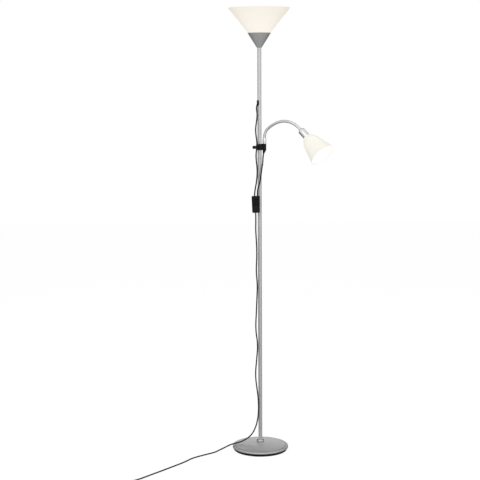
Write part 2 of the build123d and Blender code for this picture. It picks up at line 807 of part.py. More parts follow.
# ================================================================ neck
ferrule_bottom = clamp_top + play
ferrule_top = ferrule_bottom + ferrule_length
leg_plane = Plane(origin=(boss_offset, 0, 0), x_dir=(1, 0, 0), z_dir=(0, -1, 0))
leg_axis = Axis((boss_offset, 0, 0), (0, 0, 1))
with BuildPart() as arm_ferrule:
    with BuildSketch(leg_plane):
        with BuildLine():
            Polyline((neck_bore, clamp_top - spigot_length), (spigot_radius, clamp_top - spigot_length),
                     (spigot_radius, ferrule_bottom), (ferrule_radius, ferrule_bottom),
                     (ferrule_radius, ferrule_top - ferrule_taper),
                     (ferrule_top_radius, ferrule_top),
                     (neck_radius + slip, ferrule_top),
                     (neck_radius + slip, ferrule_top - neck_tail),
                     (neck_bore, ferrule_top - neck_tail), close=True)
        make_face()
    revolve(axis=leg_axis)
finish(arm_ferrule, "arm_ferrule")

# The arch: equal pieces of arc, each with its own turn, in one upright plane.
arch_way = Vector(cos(radians(neck_azimuth)), sin(radians(neck_azimuth)), 0)
arch_normal = arch_way.cross(Vector(0, 0, 1))
neck_pivots = [Vector(boss_offset, 0, ferrule_top)]
neck_headings = [90.0]


def arch_direction(heading):
    return arch_way * cos(radians(heading)) + Vector(0, 0, sin(radians(heading)))


for turn in neck_turns:
    chord = neck_piece * sin(radians(turn / 2)) / radians(turn / 2)
    way = arch_direction(neck_headings[-1] - turn / 2)
    neck_pivots.append(neck_pivots[-1] + way * chord)
    neck_headings.append(neck_headings[-1] - turn)

for number, turn in enumerate(neck_turns):
    start, end = neck_pivots[number], neck_pivots[number + 1]
    first, last = number == 0, number == len(neck_turns) - 1
    heading_out = arch_direction(neck_headings[number + 1])
    arc_plane = Plane(origin=start, x_dir=arch_way, z_dir=arch_normal)
    with BuildPart() as neck_segment:
        with BuildLine(arc_plane) as arc:
            JernArc(start=(0, 0), tangent=(cos(radians(neck_headings[number])),
                                           sin(radians(neck_headings[number]))),
                    radius=neck_piece / radians(turn), arc_size=-turn)
        with BuildSketch(Plane(origin=arc.line @ 0, z_dir=arc.line % 0)):
            Circle(neck_radius)
        sweep(path=arc.line)
        if first:
            with BuildSketch(Plane.XY.offset(ferrule_top - neck_tail)):
                with Locations((boss_offset, 0)):
                    Circle(neck_radius)
            extrude(amount=neck_tail)
            with BuildSketch(Plane.XY.offset(ferrule_top - neck_tail)):
                with Locations((boss_offset, 0)):
                    Circle(neck_bore)
            extrude(amount=neck_tail, mode=Mode.SUBTRACT)
        else:
            with Locations(start):
                Sphere(neck_radius + play, mode=Mode.SUBTRACT)
        if not last:
            with Locations(end):
                Sphere(neck_radius)
        with BuildSketch(Plane(origin=arc.line @ 0, z_dir=arc.line % 0)):
            Circle(neck_bore)
        sweep(path=arc.line, mode=Mode.SUBTRACT)
        bore_start = end - heading_out * (head_nipple_in if last else 0)
        with BuildSketch(Plane(origin=bore_start, z_dir=heading_out)):
            Circle(head_nipple_radius + slip if last else neck_bore)
        extrude(amount=2 * neck_radius, mode=Mode.SUBTRACT)
    finish(neck_segment, f"neck_segment_{number + 1}")

# ================================================================ reading head
head_origin = neck_pivots[-1]
head_way = arch_direction(neck_headings[-1])
head_side = arch_normal.cross(head_way)
head_plane = Plane(origin=head_origin, x_dir=head_side, z_dir=head_side.cross(head_way))
head_axis = Axis(head_origin, head_way)


def across_head(distance):
    """A plane square to the head's axis, at a distance from the cap's end."""
    return Plane(origin=head_origin + head_way * distance, x_dir=head_side, z_dir=head_way)


with BuildPart() as head_cap:
    with BuildSketch(head_plane):
        with BuildLine():
            Line((head_nipple_radius + slip, 0), (cap_radius - cap_round, 0))
            RadiusArc((cap_radius - cap_round, 0), (cap_radius, cap_round), -cap_round)
            Line((cap_radius, cap_round), (cap_radius, cap_length))
            offset(amount=cap_wall, side=Side.LEFT)
        make_face()
    revolve(axis=head_axis)
finish(head_cap, "head_cap")

with BuildPart() as head_nipple:
    with BuildSketch(across_head(-head_nipple_in)):
        Circle(head_nipple_radius)
        Circle(head_nipple_bore, mode=Mode.SUBTRACT)
    extrude(amount=head_nipple_in + head_nipple_out)
finish(head_nipple, "head_nipple")

finish(hex_nut(across_head(cap_wall), head_nut_flats, head_nut_height,
               head_nipple_radius + slip), "head_nut")

socket_foot = cap_wall + head_nut_height
socket_foot_radius = cap_radius - cap_round + socket_foot_step
chamber_end = head_nipple_out + socket_chamber
with BuildPart() as head_lampholder:
    with BuildSketch(head_plane):
        with BuildLine():
            Polyline((head_nipple_radius + slip, socket_foot), (socket_foot_radius, socket_foot),
                     (socket_radius, socket_full), (socket_radius, socket_length),
                     (socket_bore, socket_length), (socket_bore, socket_seat), (0, socket_seat),
                     (0, chamber_end), (head_nipple_radius + slip, chamber_end), close=True)
        make_face()
    revolve(axis=head_axis)
finish(head_lampholder, "head_lampholder")

bell_seat = cap_length + play
shoulder = (bell_shoulder_radius, bell_seat + bell_shoulder)
mouth = (bell_mouth_radius, bell_seat + bell_length)
with BuildPart() as head_shade:
    with BuildSketch(head_plane):
        with BuildLine():
            Line(mouth, shoulder)
            TangentArc(shoulder, (bell_neck_radius, bell_seat),
                       tangent=(shoulder[0] - mouth[0], shoulder[1] - mouth[1]))
            Line((bell_neck_radius, bell_seat), (socket_radius + slip, bell_seat))
            offset(amount=bell_wall, side=Side.RIGHT)
        make_face()
    revolve(axis=head_axis)
finish(head_shade, "head_shade")

finish(threaded_ring(head_plane, head_axis, socket_radius + slip, head_ring_radius,
                     bell_seat + bell_wall, head_ring_height), "head_shade_ring")

small_cap_end = socket_length + cap_gap
finish(bulb_cap(head_plane, head_axis, small_cap_radius, socket_seat, small_cap_end),
       "head_bulb_cap")
finish(bulb_glass(head_plane, head_axis, small_neck_radius, small_bulb_radius, small_cap_end,
                  small_bulb_length), "head_bulb_glass")

# ================================================================ in-line double switch
lean = radians(switch_lean)
switch_x = Vector(cos(lean), 0, sin(lean))
switch_up = Vector(-sin(lean), 0, cos(lean))
switch_middle = Vector(*switch_centre, switch_height)
switch_plane = Plane(origin=switch_middle, x_dir=switch_x, z_dir=(0, -1, 0))


def case_outline(inset):
    """The switch's outline: a trapezoid with rounded corners, wider at the top."""
    half = switch_length / 2 - inset
    top, foot = switch_top_width / 2 - inset, switch_foot_width / 2 - inset
    Polygon((-top, half), (top, half), (foot, -half), (-foot, -half), align=None)
    fillet(vertices(), switch_corner - inset)


def on_switch(across, along, out=0):
    """A point given in the switch's own directions."""
    return switch_middle + switch_x * across + switch_up * along + Vector(0, -1, 0) * out


def entry_bores():
    """The three cord entries: two at the top and one at the foot."""
    for across, side in ((upper_entry, 1), (reading_entry, 1), (mains_entry, -1)):
        way = Plane(origin=on_switch(across, side * switch_length / 2), z_dir=switch_up)
        with Locations(way):
            Cylinder(cord_bore, 2 * entry_depth, mode=Mode.SUBTRACT)


def rocker_plane(side):
    """The face plane of one rocker, through its pivot and turned with the case's side."""
    fan = -side * radians(rocker_fan)
    x_dir = switch_x * cos(fan) + switch_up * sin(fan)
    origin = on_switch(side * rocker_offset, rocker_rise, rocker_pivot)
    return Plane(origin=origin, x_dir=x_dir, z_dir=(0, -1, 0))


def pin_plane(side, reach):
    """A plane across a rocker's pin, at the pin's outer end."""
    face = rocker_plane(side)
    return Plane(origin=face.origin - face.x_dir * reach, z_dir=face.x_dir)


with BuildPart() as switch_front_shell:
    with BuildSketch(switch_plane):
        case_outline(0)
    extrude(amount=switch_front)
    fillet(switch_front_shell.faces().sort_by(Axis.Y)[0].edges(), switch_edge)
    with BuildSketch(switch_plane):
        case_outline(switch_wall)
    extrude(amount=switch_front - switch_wall, mode=Mode.SUBTRACT)
    with BuildSketch(switch_plane.offset(switch_front - switch_wall)):
        with Locations((0, rocker_rise)):
            Rectangle(rib_width, rib_length)
        inner = rocker_offset + rocker_width / 2 + rocker_gap - rib_clear
        outer = switch_foot_width / 2
        for side in (-1, 1):
            with Locations((side * (inner + outer) / 2, rocker_rise)):
                Rectangle(outer - inner, rib_length)
    extrude(amount=-rib_height)
    with BuildSketch(switch_plane.offset(switch_front - switch_wall)):
        with Locations(*[(0, row) for row in case_screw_rows]):
            Circle(case_boss_radius)
    extrude(amount=-(switch_front - switch_wall))
    with BuildSketch(switch_plane):
        with Locations(*[(0, row) for row in case_screw_rows]):
            Circle(case_screw_radius + slip)
    extrude(amount=switch_front - 2 * switch_wall, mode=Mode.SUBTRACT)
    for side in (-1, 1):
        with BuildSketch(rocker_plane(side).offset(-rocker_under)):
            RectangleRounded(rocker_width + 2 * rocker_gap, rocker_length + 2 * rocker_gap,
                             rocker_window_corner)
        extrude(amount=switch_front, mode=Mode.SUBTRACT)
        with BuildSketch(pin_plane(side, rocker_pin_reach + slip)):
            Circle(rocker_pin_radius + slip)
        extrude(amount=2 * (rocker_pin_reach + slip), mode=Mode.SUBTRACT)
    entry_bores()
finish(switch_front_shell, "switch_front_shell")

back_plane = Plane(origin=switch_middle, x_dir=-switch_x, z_dir=(0, 1, 0))
with BuildPart() as switch_back_shell:
    with BuildSketch(back_plane):
        case_outline(0)
    extrude(amount=switch_back)
    fillet(switch_back_shell.faces().sort_by(Axis.Y)[-1].edges(), switch_edge)
    with BuildSketch(back_plane):
        case_outline(switch_wall)
    extrude(amount=switch_back - switch_wall, mode=Mode.SUBTRACT)
    with BuildSketch(back_plane.offset(switch_back - switch_wall)):
        with Locations(*[(0, row) for row in case_screw_rows]):
            Circle(case_boss_radius)
    extrude(amount=-(switch_back - switch_wall))
    with Locations(back_plane.offset(switch_back)):
        with Locations(*[(0, row) for row in case_screw_rows]):
            CounterBoreHole(case_screw_radius + slip, case_screw_head_radius + slip,
                            case_screw_head + slip)
    entry_bores()
finish(switch_back_shell, "switch_back_shell")

with BuildPart() as case_screw_set:
    with BuildSketch(back_plane.offset(switch_back - slip)):
        with Locations(*[(0, row) for row in case_screw_rows]):
            Circle(case_screw_head_radius)
    extrude(amount=-case_screw_head)
    with BuildSketch(back_plane.offset(switch_back - slip)):
        with Locations(*[(0, row) for row in case_screw_rows]):
            Circle(case_screw_radius)
    extrude(amount=-case_screw_length)
finish(case_screw_set, "switch_screws")

with BuildPart() as rocker_pin_set:
    for side in (-1, 1):
        with BuildSketch(pin_plane(side, rocker_pin_reach)):
            Circle(rocker_pin_radius)
        extrude(amount=2 * rocker_pin_reach)
finish(rocker_pin_set, "rocker_pins")

for side, node in ((-1, "rocker_left"), (1, "rocker_right")):
    face = rocker_plane(side)
    tilt = radians(rocker_tilt)
    # In the shown state the upper end stands out and the lower end is pressed in.
    long_way = face.y_dir * cos(tilt) + face.z_dir * sin(tilt)
    side_plane = Plane(origin=face.origin - face.x_dir * (rocker_width / 2),
                       x_dir=long_way, z_dir=face.x_dir)
    rise = 1 if side_plane.y_dir.dot(face.z_dir) > 0 else -1
    half = rocker_length / 2
    with BuildPart() as rocker:
        with BuildSketch(side_plane):
            with BuildLine():
                Polyline((-half, -rise * rocker_under), (half, -rise * rocker_under),
                         (half, rise * rocker_end), (0, rise * rocker_middle),
                         (-half, rise * rocker_end), close=True)
            make_face()
        extrude(amount=rocker_width)
        with BuildSketch(pin_plane(side, rocker_width)):
            Circle(rocker_pin_radius + running)
        extrude(amount=2 * rocker_width, mode=Mode.SUBTRACT)
    finish(rocker, node)

with BuildPart() as switch_contact_set:
    with BuildSketch(back_plane.offset(switch_back - switch_wall)):
        for across in (-contact_spread, contact_spread):
            for row in contact_rows:
                with Locations((across, row)):
                    Rectangle(contact_size[0], contact_size[1])
        with Locations((0, contact_lower_row)):
            Rectangle(contact_size[1], contact_size[0])
    extrude(amount=-contact_size[2])
finish(switch_contact_set, "switch_contacts")

# ================================================================ cords outside the pole
case_top, case_foot = switch_length / 2, -switch_length / 2


def hanging(bends, highest, lowest):
    """Points of a hanging cord from the bends' places and their shares of the way down."""
    return [(x, y, highest + (lowest - highest) * share) for x, y, share in bends]


upper_end = on_switch(upper_entry, case_top + entry_run_top)
upper_bends = [
    (-11.9, -9.1, 0.0655), (-8.9, -10.9, 0.1241), (-10.8, -14.0, 0.1882), (-15.8, -14.2, 0.2775),
    (-14.9, -15.0, 0.35), (-10.2, -18.0, 0.4336), (-11.4, -17.6, 0.5006), (-14.6, -15.4, 0.5675),
    (-13.6, -15.8, 0.6428), (-9.8, -17.6, 0.7236), (-10.2, -17.4, 0.8185), (-14.4, -18.0, 0.9077)]
upper_points = [
    tuple(lead_end), tuple(on_exit(exit_reach)), *hanging(upper_bends, exit_height, upper_end.Z),
    tuple(upper_end), tuple(on_switch(upper_entry, case_top - entry_depth))]
upper_radii = corner_radii(upper_points)
upper_cord, upper_length = tube(upper_points, upper_radii, cord_radius)
report_cord("upper_cord", upper_cord, upper_length, upper_radii)
finish(upper_cord, "upper_cord")

reading_end = on_switch(reading_entry, case_top + entry_run_top)
reading_bends = [
    (12.9, -10.4, 0.2295), (8.2, -14.6, 0.408), (4.6, -16.0, 0.5865), (0.8, -17.6, 0.7395),
    (-7.6, -18.5, 0.8925)]
reading_points = [
    tuple(lead_start - nose_line * lead_inside), tuple(lead_start + nose_line * lead_run_out),
    *hanging(reading_bends, lead_start.Z, reading_end.Z),
    tuple(reading_end), tuple(on_switch(reading_entry, case_top - entry_depth))]
reading_radii = corner_radii(reading_points)
reading_cord, reading_length = tube(reading_points, reading_radii, cord_radius)
report_cord("reading_cord", reading_cord, reading_length, reading_radii)
finish(reading_cord, "reading_cord")

coil_way = Vector(cos(radians(coil_azimuth + 90)), sin(radians(coil_azimuth + 90)), 0)
coil_side = Vector(cos(radians(coil_azimuth)), sin(radians(coil_azimuth)), 0)
coil_tail = 2 * cord_radius


def on_coil(aside, along, height=0.0):
    """A point in the coil's own directions, from its centre at the height of the floor cord."""
    return (Vector(coil_centre[0], coil_centre[1], cord_radius + height)
            + coil_side * aside + coil_way * along)


coil_start = on_coil(coil_outer, -coil_tail)

mains_end = on_switch(mains_entry, case_foot - entry_run_foot)
mains_bends = [
    (-17.0, -17.6, 0.0522), (-13.2, -15.6, 0.1137), (-12.2, -13.4, 0.1786),
    (-15.7, -12.0, 0.2436), (-10.2, -13.2, 0.3109), (-12.4, -12.8, 0.3712),
    (-14.8, -12.0, 0.4362), (-18.9, -11.4, 0.5244), (-9.4, -12.6, 0.5963),
    (-13.4, -12.8, 0.6589), (-20.7, -13.0, 0.7448), (-14.0, -12.6, 0.8097),
    (-8.4, -12.6, 0.8608), (-7.2, -12.8, 0.9142), (-11.0, -11.6, 0.9582)]
foot_bends = [
    (-21.0, -9.6, foot_bend_height), (-39.0, -6.4, 64.0), (-65.0, -3.2, 42.0),
    (-91.0, -1.2, 29.6), (-117.5, 4.0, 22.6)]
floor_bends = [
    (-141.0, 12.0), (-157.0, -16.0), (-183.0, -53.0), (-229.0, -88.0), (-279.0, -131.0),
    (-306.0, -180.0), (-347.0, -231.0), (-393.0, -289.0), (-437.0, -342.0), (-479.0, -394.0)]
mains_points = [
    tuple(on_switch(mains_entry, case_foot + entry_depth)), tuple(mains_end),
    *hanging(mains_bends, mains_end.Z, foot_bend_height), *foot_bends,
    *[(x, y, cord_radius) for x, y in floor_bends],
    tuple(coil_start - coil_way * coil_approach), tuple(coil_start)]
mains_radii = corner_radii(mains_points)
mains_cord, mains_length = tube(mains_points, mains_radii, cord_radius)
report_cord("mains_cord", mains_cord, mains_length, mains_radii)
finish(mains_cord, "mains_cord")

# ================================================================ put-away coil
# Two layers of half turns: the lower one spirals in, one half turn climbs, the upper one
# spirals out again. Each half turn's radius differs from the next by half the pitch.
coil_pitch = 2 * cord_radius + coil_gap
coil_radii = [coil_outer - step * coil_pitch / 2 for step in range(coil_half_turns + 1)]
coil_radii += coil_radii[-2::-1]
drop = coil_pitch - (plug_height / 2 - cord_radius)
bend = 2 * asin(sqrt(drop / (4 * plug_bend_radius)))


def end_tangent(start, end, tangent):
    """The direction in which an arc with a given start tangent arrives."""
    chord = (end - start).normalized()
    return chord * (2 * chord.dot(tangent)) - tangent


with BuildPart() as mains_coil:
    with BuildLine() as coil_route:
        Line(coil_start, on_coil(coil_outer, 0))
        aside, height, side = coil_outer, 0.0, 1
        for number, radius in enumerate(coil_radii):
            start = on_coil(aside, 0, height)
            centre = aside - side * radius
            aside = centre - side * radius
            if number == coil_half_turns:
                # The climbing half turn: two tilted arcs that meet half a pitch up.
                reach = side * sqrt(radius ** 2 + (coil_pitch / 2) ** 2)
                top = on_coil(centre, reach, height + coil_pitch / 2)
                height += coil_pitch
                TangentArc(start, top, tangent=coil_way * side)
                TangentArc(top, on_coil(aside, 0, height),
                           tangent=end_tangent(start, top, coil_way * side))
            else:
                ThreePointArc(start, on_coil(centre, side * radius, height),
                              on_coil(aside, 0, height))
            side = -side
        # A shallow bend down to the height of the plug's axis.
        reach = plug_bend_radius * sin(bend)
        fall = plug_bend_radius * (1 - cos(bend))
        leave = on_coil(aside, side * coil_leave, height)
        dip = on_coil(aside, side * (coil_leave + reach), height - fall)
        level = on_coil(aside, side * (coil_leave + 2 * reach), height - 2 * fall)
        Line(on_coil(aside, 0, height), leave)
        TangentArc(leave, dip, tangent=coil_way * side)
        TangentArc(dip, level, tangent=end_tangent(leave, dip, coil_way * side))
        Line(level, level + coil_way * side * coil_tail)
    with BuildSketch(Plane(origin=coil_route.line @ 0, z_dir=coil_route.line % 0)):
        Circle(cord_radius)
    sweep(path=coil_route.line)
finish(mains_coil, "mains_coil")
coil_length = coil_route.wires()[0].length
report_cord("mains_coil", mains_coil, coil_length, coil_radii)

# The smallest gap between turns, between points more than a diameter apart along the route.
samples = []
along = 0.0
for edge in coil_route.wires()[0].order_edges():
    steps = ceil(edge.length / 2.0)
    samples += [(along + edge.length * i / steps, edge @ (i / steps)) for i in range(steps)]
    along += edge.length
gaps = [(there - here).length - 2 * cord_radius
        for index, (reach, here) in enumerate(samples)
        for (further, there) in samples[index:] if further - reach > 8 * cord_radius]
print("smallest gap between the coil's turns", round(min(gaps), 2))

# ================================================================ flat plug
plug_start = coil_route.line @ 1
plug_way = coil_route.line % 1
plug_across = Vector(0, 0, 1).cross(plug_way)


def across_plug(distance):
    """A plane square to the plug's axis, at a distance from the end of the cord."""
    return Plane(origin=plug_start + plug_way * distance, x_dir=plug_across, z_dir=plug_way)


with BuildPart() as plug_body:
    with BuildSketch(across_plug(0)):
        Circle(cord_radius + relief_start)
    with BuildSketch(across_plug(relief_length)):
        Circle(relief_radius)
    loft()
    for groove in range(1, relief_grooves + 1):
        with BuildSketch(across_plug(groove * relief_groove_pitch)):
            Circle(relief_radius + relief_start)
            Circle(cord_radius + relief_wall, mode=Mode.SUBTRACT)
        extrude(amount=relief_groove, mode=Mode.SUBTRACT)
    with BuildSketch(across_plug(relief_length)):
        RectangleRounded(plug_width * plug_neck[0], plug_height * plug_neck[1], plug_corner)
    with BuildSketch(across_plug(relief_length + plug_length / 3)):
        RectangleRounded(plug_width, plug_height, plug_corner)
    loft()
    with BuildSketch(across_plug(relief_length + plug_length / 3)):
        RectangleRounded(plug_width, plug_height, plug_corner)
    extrude(amount=plug_length / 3)
    with BuildSketch(across_plug(relief_length + plug_length * 2 / 3)):
        RectangleRounded(plug_width, plug_height, plug_corner)
    with BuildSketch(across_plug(relief_length + plug_length)):
        RectangleRounded(plug_front_width, plug_height, plug_corner)
    loft()
    with BuildSketch(across_plug(relief_length + plug_length)):
        with Locations((-plug_pin_spread, 0), (plug_pin_spread, 0)):
            Circle(plug_pin_radius + slip)
    extrude(amount=-plug_pin_depth, mode=Mode.SUBTRACT)
finish(plug_body, "plug_body")

with BuildPart() as plug_pins:
    with BuildSketch(across_plug(relief_length + plug_length - plug_pin_depth + slip)):
        with Locations((-plug_pin_spread, 0), (plug_pin_spread, 0)):
            Circle(plug_pin_radius)
    extrude(amount=plug_pin_depth + plug_pin_length)
    tips = plug_pins.edges().filter_by(GeomType.CIRCLE).sort_by(Axis(plug_start, plug_way))[-2:]
    fillet(tips, plug_pin_round)
finish(plug_pins, "plug_pins")
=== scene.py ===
from math import cos, pi, radians, sin

import bmesh
import bpy
from mathutils import Matrix, Vector


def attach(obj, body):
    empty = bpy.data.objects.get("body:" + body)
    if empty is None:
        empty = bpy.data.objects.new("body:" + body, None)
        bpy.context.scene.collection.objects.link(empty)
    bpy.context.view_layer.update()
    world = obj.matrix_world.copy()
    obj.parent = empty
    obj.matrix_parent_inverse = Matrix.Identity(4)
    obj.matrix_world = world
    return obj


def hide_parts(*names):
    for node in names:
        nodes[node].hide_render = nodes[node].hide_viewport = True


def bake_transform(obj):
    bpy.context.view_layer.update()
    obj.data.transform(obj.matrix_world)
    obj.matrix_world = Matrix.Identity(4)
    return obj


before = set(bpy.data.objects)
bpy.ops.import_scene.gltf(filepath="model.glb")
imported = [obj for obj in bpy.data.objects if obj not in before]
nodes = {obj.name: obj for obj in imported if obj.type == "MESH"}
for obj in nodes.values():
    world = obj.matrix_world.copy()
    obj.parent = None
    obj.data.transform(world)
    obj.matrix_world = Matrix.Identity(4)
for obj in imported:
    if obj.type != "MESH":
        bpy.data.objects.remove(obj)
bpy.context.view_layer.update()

# the camera stands in front of the lamp, a little above the clamp, and looks slightly down
camera = {"place": (-0.0804, -4.78, 1.51), "pitch": 7.57, "roll": 0.30, "lens": 89.1,
          "sensor": 36}
eye = bpy.data.cameras.new("camera")
eye.lens = camera["lens"]
eye.sensor_width = camera["sensor"]
eyeObject = bpy.data.objects.new("camera", eye)
eyeObject.matrix_world = (Matrix.Translation(camera["place"])
                          @ Matrix.Rotation(radians(90 - camera["pitch"]), 4, "X")
                          @ Matrix.Rotation(radians(-camera["roll"]), 4, "Z"))
bpy.context.scene.collection.objects.link(eyeObject)
bpy.context.scene.camera = eyeObject
print("camera placed")


# shader maths: a wire is a socket that can be written into sums
class Wire:
    def __init__(self, paint, socket):
        self.paint, self.socket = paint, socket

    def maths(self, operation, *values):
        return self.paint.node("ShaderNodeMath", {"operation": operation}, dict(enumerate(values)))

    def __add__(self, other):
        return self.maths("ADD", self, other)

    def __sub__(self, other):
        return self.maths("SUBTRACT", self, other)

    def __rsub__(self, other):
        return self.maths("SUBTRACT", other, self)

    def __mul__(self, other):
        return self.maths("MULTIPLY", self, other)

    __radd__ = __add__
    __rmul__ = __mul__


class Paint:
    def __init__(self, name, **constants):
        self.material = bpy.data.materials.new(name)
        self.material.use_nodes = True
        self.tree = self.material.node_tree
        self.surface = self.tree.nodes["Principled BSDF"]
        for socket, value in constants.items():
            self.surface.inputs[socket.replace("_", " ")].default_value = value

    def node(self, kind, settings=(), inputs=(), output=0):
        made = self.tree.nodes.new(kind)
        for key, value in dict(settings).items():
            setattr(made, key, value)
        for key, value in dict(inputs).items():
            if isinstance(value, Wire):
                self.tree.links.new(value.socket, made.inputs[key])
            else:
                made.inputs[key].default_value = value
        return Wire(self, made.outputs[output])

    def feed(self, socket, wire):
        self.tree.links.new(wire.socket, self.surface.inputs[socket])

    def place(self, stretch=(1, 1, 1)):
        where = self.node("ShaderNodeTexCoord", output="Object")
        return self.node("ShaderNodeMapping", {}, {"Vector": where, "Scale": stretch})

    def noise(self, scale, detail, stretch=(1, 1, 1)):
        return self.node("ShaderNodeTexNoise", {}, {
            "Vector": self.place(stretch), "Scale": scale, "Detail": detail})

    def mix(self, factor, low, high):
        return self.node("ShaderNodeMix", {"data_type": "RGBA"},
                         {"Factor": factor, 6: low, 7: high}, output=2)

    def fade(self, value, near, far, strongest=1.0):
        # strongest at near and below, nothing at far and beyond
        return self.node("ShaderNodeMapRange", {"interpolation_type": "SMOOTHSTEP"}, {
            "Value": value, "From Min": near, "From Max": far, "To Min": strongest,
            "To Max": 0.0})

    def relief(self, height, strength, depth):
        self.feed("Normal", self.node("ShaderNodeBump", {}, {
            "Height": height, "Strength": strength, "Distance": depth}))


def grey(value):
    return (value, value, value, 1)


# metallic lacquer: fine flakes, a soft orange peel and a little dulling, with the tone of the
# painted shade in the base's pressed ring
lacquer = {"flakes": (2600, 2), "clouds": (14, 4), "peel": (900, 2), "flakeShare": 0.7,
           "deep": 0.9, "pale": 1.12, "dulling": 0.10, "flakeRelief": 0.3, "strength": 0.12,
           "depth": 0.0004, "metal": 0.55, "rough": 0.36, "grooveShadeTone": 0.25}


def lacquered(paint, shade, rough):
    flakes = paint.noise(*lacquer["flakes"])
    clouds = paint.noise(*lacquer["clouds"])
    paint.feed("Roughness", rough + lacquer["dulling"] * clouds - lacquer["dulling"] / 2)
    paint.relief(paint.noise(*lacquer["peel"]) + flakes * lacquer["flakeRelief"],
                 lacquer["strength"], lacquer["depth"])
    return paint.mix(flakes * lacquer["flakeShare"] + clouds * (1 - lacquer["flakeShare"]),
                     grey(shade * lacquer["deep"]), grey(shade * lacquer["pale"]))


def silverPaint(name, shade, metal=lacquer["metal"], rough=lacquer["rough"]):
    paint = Paint(name, Metallic=metal)
    paint.feed("Base Color", lacquered(paint, shade, rough))
    return paint.material


def baseLacquerAndShade(name, shade, metal, rough, ring, blackFootAndShade):
    # painted shade darkens the lacquer in the pressed ring; the black band along the rim's foot is
    # partly painted shade under the rolled edge and partly the base's own black foot
    paint = Paint(name, Metallic=metal)
    silver = lacquered(paint, shade, rough)
    # painted shade in the pressed ring, found by the distance from the axis
    out = paint.node("ShaderNodeVectorMath", {"operation": "LENGTH"},
                     {0: paint.place((1, 1, 0))}, output="Value")
    apart = paint.node("ShaderNodeMath", {"operation": "ABSOLUTE"}, {0: out - ring["radius"]})
    grooveShaded = paint.mix(paint.fade(apart, 0.0, ring["width"], ring["dark"]), silver,
                      grey(shade * lacquer["grooveShadeTone"]))
    # black band along the rim's foot: partly painted shade under the rolled edge, partly the base's
    # own black foot
    height = paint.node("ShaderNodeSeparateXYZ", {}, {0: paint.place()}, output="Z")
    paint.feed("Base Color", paint.mix(paint.fade(height, blackFootAndShade["low"], blackFootAndShade["high"]), grooveShaded,
                                       grey(blackFootAndShade["shade"])))
    return paint.material


# polished plate: faint wiping marks and a few dull spots
plate = {"marks": (60, 5, (1, 1, 9)), "deep": 0.92, "pale": 1.05, "dulling": 0.07,
         "strength": 0.04, "depth": 0.0003}


def chromePlate(name, shade, rough):
    paint = Paint(name, Metallic=1.0)
    marks = paint.noise(*plate["marks"])
    paint.feed("Base Color", paint.mix(marks, grey(shade * plate["deep"]),
                                       grey(shade * plate["pale"])))
    paint.feed("Roughness", rough + plate["dulling"] * marks)
    paint.relief(marks, plate["strength"], plate["depth"])
    return paint.material


# moulded plastic with a fine spark-eroded grain
plastic = {"mottle": (30, 4), "grainDetail": 2, "shine": 0.2, "deep": 0.8, "pale": 1.3,
           "dulling": 0.15, "grainShine": 0.05, "strength": 0.25, "depth": 0.0002}


def blackPlastic(name, shade, rough, grain):
    paint = Paint(name, Specular_IOR_Level=plastic["shine"])
    coarse = paint.noise(*plastic["mottle"])
    fine = paint.noise(grain, plastic["grainDetail"])
    paint.feed("Base Color", paint.mix(coarse, grey(shade * plastic["deep"]),
                                       grey(shade * plastic["pale"])))
    paint.feed("Roughness", rough + plastic["dulling"] * coarse - plastic["grainShine"] * fine)
    paint.relief(fine, plastic["strength"], plastic["depth"])
    return paint.material


# milky plastic with a painted glow standing in for the bulb's light shining through it: the glow is
# strongest round the bulb
opal = {"rough": 0.32, "shine": 0.35, "clouds": (18, 4), "deep": (0.83, 0.81, 0.77, 1),
        "pale": (0.88, 0.865, 0.83, 1), "near": 0.03, "far": 0.14, "mottle": 0.06,
        "ripple": (500, 2), "strength": 0.05, "depth": 0.0003}


def litOpal(name, glow, tint, inside):
    paint = Paint(name, Roughness=opal["rough"], Specular_IOR_Level=opal["shine"],
                  Emission_Strength=glow)
    clouds = paint.noise(*opal["clouds"])
    paint.feed("Base Color", paint.mix(clouds, opal["deep"], opal["pale"]))
    # painted glow: warmer and brighter near the bulb, duller towards the far edges
    where = paint.node("ShaderNodeTexCoord", output="Object")
    away = paint.node("ShaderNodeVectorMath", {"operation": "DISTANCE"},
                      {0: where, 1: inside}, output="Value")
    paintedGlow = paint.fade(away, opal["near"], opal["far"])
    paint.feed("Emission Color",
               paint.mix(paintedGlow + opal["mottle"] * clouds - opal["mottle"] / 2, *tint))
    paint.relief(paint.noise(*opal["ripple"]), opal["strength"], opal["depth"])
    return paint.material


# zinc, brass or cast iron, with turning marks
hardware = {"marks": (700, 3, (0.2, 0.2, 4)), "pale": 1.15, "dulling": 0.2, "strength": 0.2,
            "depth": 0.0002}


def plainMetal(name, colour, rough):
    paint = Paint(name, Metallic=1.0)
    marks = paint.noise(*hardware["marks"])
    pale = tuple(min(1.0, part * hardware["pale"]) for part in colour)
    paint.feed("Base Color", paint.mix(marks, (*colour, 1), (*pale, 1)))
    paint.feed("Roughness", rough + hardware["dulling"] * marks)
    paint.relief(marks, hardware["strength"], hardware["depth"])
    return paint.material


